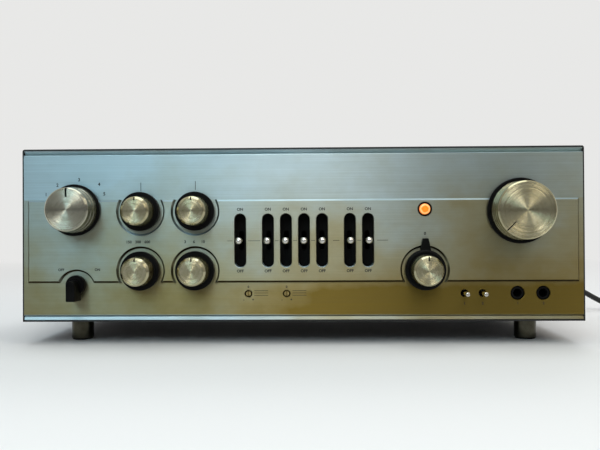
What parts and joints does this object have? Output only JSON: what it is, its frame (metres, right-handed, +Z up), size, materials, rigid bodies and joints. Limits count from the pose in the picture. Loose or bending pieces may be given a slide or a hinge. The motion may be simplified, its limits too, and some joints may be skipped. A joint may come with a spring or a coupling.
{
  "type": "hi-fi preamplifier",
  "caption": "Wide hi-fi preamplifier: brushed metal front with round knobs, lever switches in tall slots, push buttons, phone jacks and a pilot lamp, on a black case with feet.",
  "frame": {"origin": "on the surface under the feet, below the middle of the box round the preamplifier without its cord", "axes": "+X to the right as seen from the front, +Y to the rear, +Z up"},
  "size_m": [0.7065, 0.2957, 0.171],
  "materials": {
    "brushed_panel": "brushed from side to side, aged to a warm champagne tone",
    "spun_aluminium": "turned, with a spun face and a polished chamfer",
    "black_plastic": "satin black",
    "chrome": "polished",
    "steel": "plated sheet steel",
    "black_paint": "satin black paint",
    "bright_metal": "nickel plated, satin",
    "board_laminate": "brown paper laminate with parts on it",
    "amber_lens": "clear amber, lit from behind",
    "cord_rubber": "satin black cord sheath"
  },
  "bodies": {
    "case": {"front_panel": "brushed_panel", "chassis": "steel", "case_cover": "black_paint", "bottom_plate": "black_paint", "rear_panel": "black_paint", "slot_mask": "black_plastic", "volume_control": "bright_metal", "selector_switch": "bright_metal", "bass_switch": "bright_metal", "treble_switch": "bright_metal", "bass_turnover_switch": "bright_metal", "treble_turnover_switch": "bright_metal", "equaliser_switch": "bright_metal", "balance_control": "bright_metal", "lever_bank_1": "steel", "lever_bank_2": "steel", "lever_bank_3": "steel", "phone_jack_left": "black_plastic", "phone_jack_right": "black_plastic", "push_switch": "steel", "trimmer_block": "board_laminate", "lamp_bezel": "black_plastic", "lamp_lens": "amber_lens", "main_circuit_board": "board_laminate", "phono_screen": "steel", "power_transformer": "steel", "phono_sockets": "bright_metal", "line_sockets": "bright_metal", "mains_outlets": "black_plastic", "fuse_holder": "black_plastic", "ground_terminal": "bright_metal", "cord_gland": "cord_rubber", "mains_cord": "cord_rubber", "cord_coil": "cord_rubber", "mains_plug": "cord_rubber", "foot_front_left": "bright_metal", "foot_front_right": "bright_metal", "foot_rear_left": "bright_metal", "foot_rear_right": "bright_metal"},
    "volume_knob": {"volume_knob": "spun_aluminium"},
    "selector_knob": {"selector_knob": "spun_aluminium"},
    "bass_knob": {"bass_knob": "spun_aluminium"},
    "treble_knob": {"treble_knob": "spun_aluminium"},
    "bass_turnover_knob": {"bass_turnover_knob": "spun_aluminium"},
    "treble_turnover_knob": {"treble_turnover_knob": "spun_aluminium"},
    "attenuator_knob": {"attenuator_knob": "spun_aluminium"},
    "equaliser_knob": {"equaliser_knob": "black_plastic"},
    "balance_ring": {"balance_ring": "black_plastic"},
    "lever_1": {"lever_1": "chrome"},
    "lever_2": {"lever_2": "chrome"},
    "lever_3": {"lever_3": "chrome"},
    "lever_4": {"lever_4": "chrome"},
    "lever_5": {"lever_5": "chrome"},
    "lever_6": {"lever_6": "chrome"},
    "lever_7": {"lever_7": "chrome"},
    "push_button_left": {"push_button_left": "chrome"},
    "push_button_right": {"push_button_right": "chrome"},
    "trimmer_screw_left": {"trimmer_screw_left": "bright_metal"},
    "trimmer_screw_right": {"trimmer_screw_right": "bright_metal"}
  },
  "joints": [
    {"name": "volume_knob_turn", "type": "hinge", "parent": "case", "child": "volume_knob", "pos_m": [0.1866, -0.09675, 0.1154], "axis": [0, 1, 0], "range_deg": [0, 270]},
    {"name": "selector_knob_turn", "type": "hinge", "parent": "case", "child": "selector_knob", "pos_m": [-0.19541, -0.09675, 0.1178], "axis": [0, 1, 0], "range_deg": [-60, 60]},
    {"name": "bass_knob_turn", "type": "hinge", "parent": "case", "child": "bass_knob", "pos_m": [-0.13859, -0.09675, 0.1164], "axis": [0, 1, 0], "range_deg": [-150, 150]},
    {"name": "treble_knob_turn", "type": "hinge", "parent": "case", "child": "treble_knob", "pos_m": [-0.0912, -0.09675, 0.1164], "axis": [0, 1, 0], "range_deg": [-150, 150]},
    {"name": "bass_turnover_knob_turn", "type": "hinge", "parent": "case", "child": "bass_turnover_knob", "pos_m": [-0.13859, -0.09675, 0.0652], "axis": [0, 1, 0], "range_deg": [-30, 30]},
    {"name": "treble_turnover_knob_turn", "type": "hinge", "parent": "case", "child": "treble_turnover_knob", "pos_m": [-0.0912, -0.09675, 0.0652], "axis": [0, 1, 0], "range_deg": [-30, 30]},
    {"name": "attenuator_knob_turn", "type": "hinge", "parent": "case", "child": "attenuator_knob", "pos_m": [0.106, -0.09675, 0.0652], "axis": [0, 1, 0], "range_deg": [-60, 60]},
    {"name": "equaliser_knob_turn", "type": "hinge", "parent": "case", "child": "equaliser_knob", "pos_m": [-0.19439, -0.09675, 0.0532], "axis": [0, 1, 0], "range_deg": [-45, 45]},
    {"name": "balance_ring_turn", "type": "hinge", "parent": "case", "child": "balance_ring", "pos_m": [0.106, -0.09675, 0.0652], "axis": [0, 1, 0], "range_deg": [-60, 60]},
    {"name": "lever_1_swing", "type": "hinge", "parent": "case", "child": "lever_1", "pos_m": [-0.05231, -0.07275, 0.0909], "axis": [1, 0, 0], "range_deg": [-22, 22]},
    {"name": "lever_2_swing", "type": "hinge", "parent": "case", "child": "lever_2", "pos_m": [-0.0284, -0.07275, 0.0909], "axis": [1, 0, 0], "range_deg": [-22, 22]},
    {"name": "lever_3_swing", "type": "hinge", "parent": "case", "child": "lever_3", "pos_m": [-0.0129, -0.07275, 0.0909], "axis": [1, 0, 0], "range_deg": [-22, 22]},
    {"name": "lever_4_swing", "type": "hinge", "parent": "case", "child": "lever_4", "pos_m": [0.00259, -0.07275, 0.0909], "axis": [1, 0, 0], "range_deg": [-22, 22]},
    {"name": "lever_5_swing", "type": "hinge", "parent": "case", "child": "lever_5", "pos_m": [0.01809, -0.07275, 0.0909], "axis": [1, 0, 0], "range_deg": [-22, 22]},
    {"name": "lever_6_swing", "type": "hinge", "parent": "case", "child": "lever_6", "pos_m": [0.042, -0.07275, 0.0909], "axis": [1, 0, 0], "range_deg": [-22, 22]},
    {"name": "lever_7_swing", "type": "hinge", "parent": "case", "child": "lever_7", "pos_m": [0.0575, -0.07275, 0.0909], "axis": [1, 0, 0], "range_deg": [-22, 22]},
    {"name": "push_button_left_press", "type": "slide", "parent": "case", "child": "push_button_left", "axis": [0, 1, 0], "range_m": [0, 0.003], "stiffness_N_per_m": 300},
    {"name": "push_button_right_press", "type": "slide", "parent": "case", "child": "push_button_right", "axis": [0, 1, 0], "range_m": [0, 0.003], "stiffness_N_per_m": 300},
    {"name": "trimmer_screw_left_turn", "type": "hinge", "parent": "case", "child": "trimmer_screw_left", "pos_m": [-0.04559, -0.09675, 0.045], "axis": [0, 1, 0], "range_deg": [-135, 135]},
    {"name": "trimmer_screw_right_turn", "type": "hinge", "parent": "case", "child": "trimmer_screw_right", "pos_m": [-0.01261, -0.09675, 0.045], "axis": [0, 1, 0], "range_deg": [-135, 135]}
  ]
}
